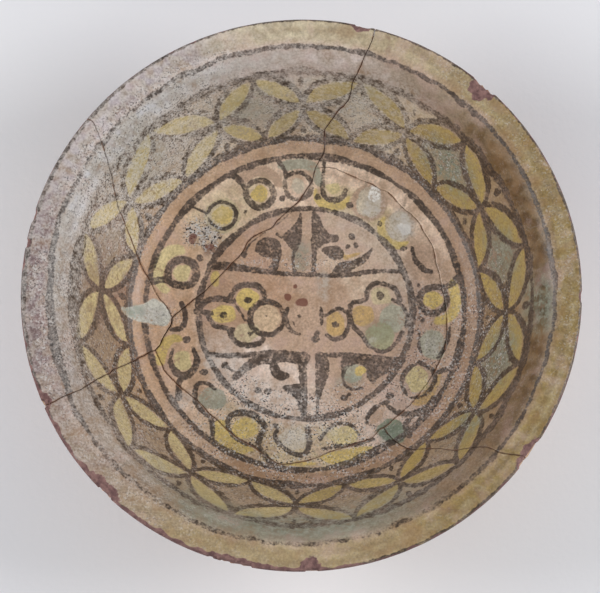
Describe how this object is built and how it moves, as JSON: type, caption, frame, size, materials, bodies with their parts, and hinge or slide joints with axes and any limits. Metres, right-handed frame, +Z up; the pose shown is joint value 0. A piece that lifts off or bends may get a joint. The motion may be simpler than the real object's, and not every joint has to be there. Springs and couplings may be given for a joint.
{
  "type": "mended earthenware bowl",
  "caption": "Wide round bowl with a flat turned-out lip and flat floor, slip painted and glazed, broken into sherds and stuck together again.",
  "frame": {"origin": "middle of the base, on the surface that the bowl stands on", "axes": "+Z up along the bowl's axis of turning, -Y towards the viewer, who looks down into the bowl, +X to the viewer's right"},
  "size_m": [0.26, 0.26, 0.072],
  "materials": {
    "painted_glazed_clay": "worn, slightly glossy lead glaze over brown, yellow and green slip painting on buff clay"
  },
  "bodies": {
    "root": {"upper_left_rim_sherd": "painted_glazed_clay", "left_rim_sherd": "painted_glazed_clay", "lower_rim_sherd": "painted_glazed_clay", "right_rim_sherd": "painted_glazed_clay", "floor_sherd": "painted_glazed_clay"}
  },
  "joints": []
}
